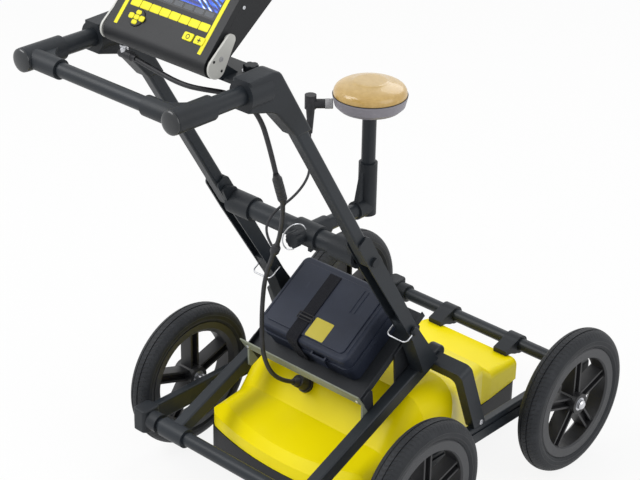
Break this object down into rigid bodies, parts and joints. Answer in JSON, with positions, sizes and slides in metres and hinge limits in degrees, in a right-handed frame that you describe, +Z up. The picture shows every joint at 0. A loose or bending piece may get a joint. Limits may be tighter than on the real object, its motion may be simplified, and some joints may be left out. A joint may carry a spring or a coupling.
{
  "type": "ground penetrating radar cart",
  "caption": "Push cart carrying a yellow ground penetrating radar housing on spoked wheels, with a folding handle, tilting display, satellite receiver mast and a strapped battery case.",
  "frame": {"origin": "on the ground, under the middle of the cart's length and width", "axes": "+X to the cart's right, +Y forward in the pushing direction, +Z up"},
  "size_m": [0.694, 1.115, 1.2148],
  "materials": {
    "tyre": "matt",
    "rim": "satin moulded",
    "frame": "satin powder coat",
    "fitting": "moulded satin",
    "cover": "gloss moulded",
    "pan": "matt",
    "steel": "brushed",
    "electronics": "board",
    "dome": "satin",
    "receiver": "satin",
    "case": "matt textured",
    "battery": "matt",
    "webbing": "woven",
    "tray": "satin",
    "cable": "matt",
    "housing": "matt textured",
    "glass": "clear over a dark panel",
    "key": "matt",
    "plate": "satin light grey"
  },
  "bodies": {
    "chassis": {"antenna_base": "pan", "rear_cover": "cover", "front_cover": "cover", "radar_electronics": "electronics", "side_rails": "frame", "base_cross_tubes": "frame", "corner_blocks": "fitting", "frame_rails": "frame", "outriggers": "frame", "base_brackets": "frame", "leg_channels": "frame", "leg_pins": "fitting", "cross_sockets": "fitting", "mid_cross_tube": "frame", "receiver_clamp": "fitting", "receiver_arm": "frame", "receiver_elbow": "fitting", "receiver_mast": "frame", "receiver_base": "receiver", "receiver_dome": "dome", "receiver_plug": "cable", "receiver_cable": "cable", "tray": "tray", "case_base": "case", "battery_pack": "battery", "cover_clamps": "fitting", "axle_bolts": "steel", "wheel_bearings": "steel", "encoder": "fitting", "radar_plug": "cable", "lower_cable": "cable"},
    "handle": {"uprights": "frame", "gussets": "fitting", "handle_tubes": "frame", "corner_fittings": "fitting", "tilt_brackets": "frame", "upper_cable": "cable"},
    "display": {"display_back": "housing", "display_bezel": "housing", "display_screen": "glass", "side_plates": "plate"},
    "tilt_knob": {"tilt_knob": "fitting"},
    "clamp_knob": {"clamp_knob": "fitting"},
    "arrow_pad": {"arrow_pad": "key"},
    "key_left": {"key_left": "key"},
    "key_right": {"key_right": "key"},
    "case_lid": {"case_lid": "case", "case_strap": "webbing"},
    "case_latch": {"case_latch": "case"},
    "pin_bail_left": {"pin_bail_left": "steel"},
    "pin_bail_right": {"pin_bail_right": "steel"},
    "wheel_front_left": {"tyre_front_left": "tyre", "rim_front_left": "rim"},
    "wheel_front_right": {"tyre_front_right": "tyre", "rim_front_right": "rim"},
    "wheel_rear_left": {"tyre_rear_left": "tyre", "rim_rear_left": "rim"},
    "wheel_rear_right": {"tyre_rear_right": "tyre", "rim_rear_right": "rim", "drive_axle": "steel"}
  },
  "joints": [
    {"name": "wheel_front_left_spin", "type": "hinge", "parent": "chassis", "child": "wheel_front_left", "pos_m": [-0.313, 0.4025, 0.155], "axis": [-1, 0, 0], "continuous": true},
    {"name": "wheel_front_right_spin", "type": "hinge", "parent": "chassis", "child": "wheel_front_right", "pos_m": [0.313, 0.4025, 0.155], "axis": [-1, 0, 0], "continuous": true},
    {"name": "wheel_rear_left_spin", "type": "hinge", "parent": "chassis", "child": "wheel_rear_left", "pos_m": [-0.313, -0.0675, 0.155], "axis": [-1, 0, 0], "continuous": true},
    {"name": "wheel_rear_right_spin", "type": "hinge", "parent": "chassis", "child": "wheel_rear_right", "pos_m": [0.313, -0.0675, 0.155], "axis": [-1, 0, 0], "continuous": true},
    {"name": "handle_fold", "type": "hinge", "parent": "chassis", "child": "handle", "pos_m": [0, -0.0875, 0.612], "axis": [1, 0, 0], "range_deg": [0, 95]},
    {"name": "display_tilt", "type": "hinge", "parent": "handle", "child": "display", "pos_m": [0, -0.4095, 1.059], "axis": [1, 0, 0], "range_deg": [-30, 40]},
    {"name": "tilt_knob_turn", "type": "hinge", "parent": "handle", "child": "tilt_knob", "pos_m": [0.136, -0.3385, 1.037], "axis": [0, 0, 1], "range_deg": [0, 270]},
    {"name": "clamp_knob_turn", "type": "hinge", "parent": "chassis", "child": "clamp_knob", "pos_m": [0.038, -0.1198, 0.616], "axis": [0, -1, 0], "range_deg": [0, 270]},
    {"name": "case_lid_open", "type": "hinge", "parent": "chassis", "child": "case_lid", "pos_m": [0, 0.09415, 0.43072], "axis": [-1, 0, 0], "range_deg": [0, 68]},
    {"name": "case_latch_open", "type": "hinge", "parent": "case_lid", "child": "case_latch", "pos_m": [0.045, -0.0661, 0.34175], "axis": [-1, 0, 0], "range_deg": [0, 100]},
    {"name": "pin_bail_left_swing", "type": "hinge", "parent": "chassis", "child": "pin_bail_left", "pos_m": [-0.2027, 0.02941, 0.42325], "axis": [0, 0.515, -0.8572], "range_deg": [0, 110]},
    {"name": "pin_bail_right_swing", "type": "hinge", "parent": "chassis", "child": "pin_bail_right", "pos_m": [0.2027, 0.02941, 0.42325], "axis": [0, -0.515, 0.8572], "range_deg": [0, 110]},
    {"name": "arrow_pad_press", "type": "slide", "parent": "display", "child": "arrow_pad", "axis": [0, 0.7478, -0.6639], "range_m": [0, 0.0015], "stiffness_N_per_m": 500, "springref_m": -0.001},
    {"name": "key_left_press", "type": "slide", "parent": "display", "child": "key_left", "axis": [0, 0.7478, -0.6639], "range_m": [0, 0.0015], "stiffness_N_per_m": 500, "springref_m": -0.001},
    {"name": "key_right_press", "type": "slide", "parent": "display", "child": "key_right", "axis": [0, 0.7478, -0.6639], "range_m": [0, 0.0015], "stiffness_N_per_m": 500, "springref_m": -0.001}
  ]
}
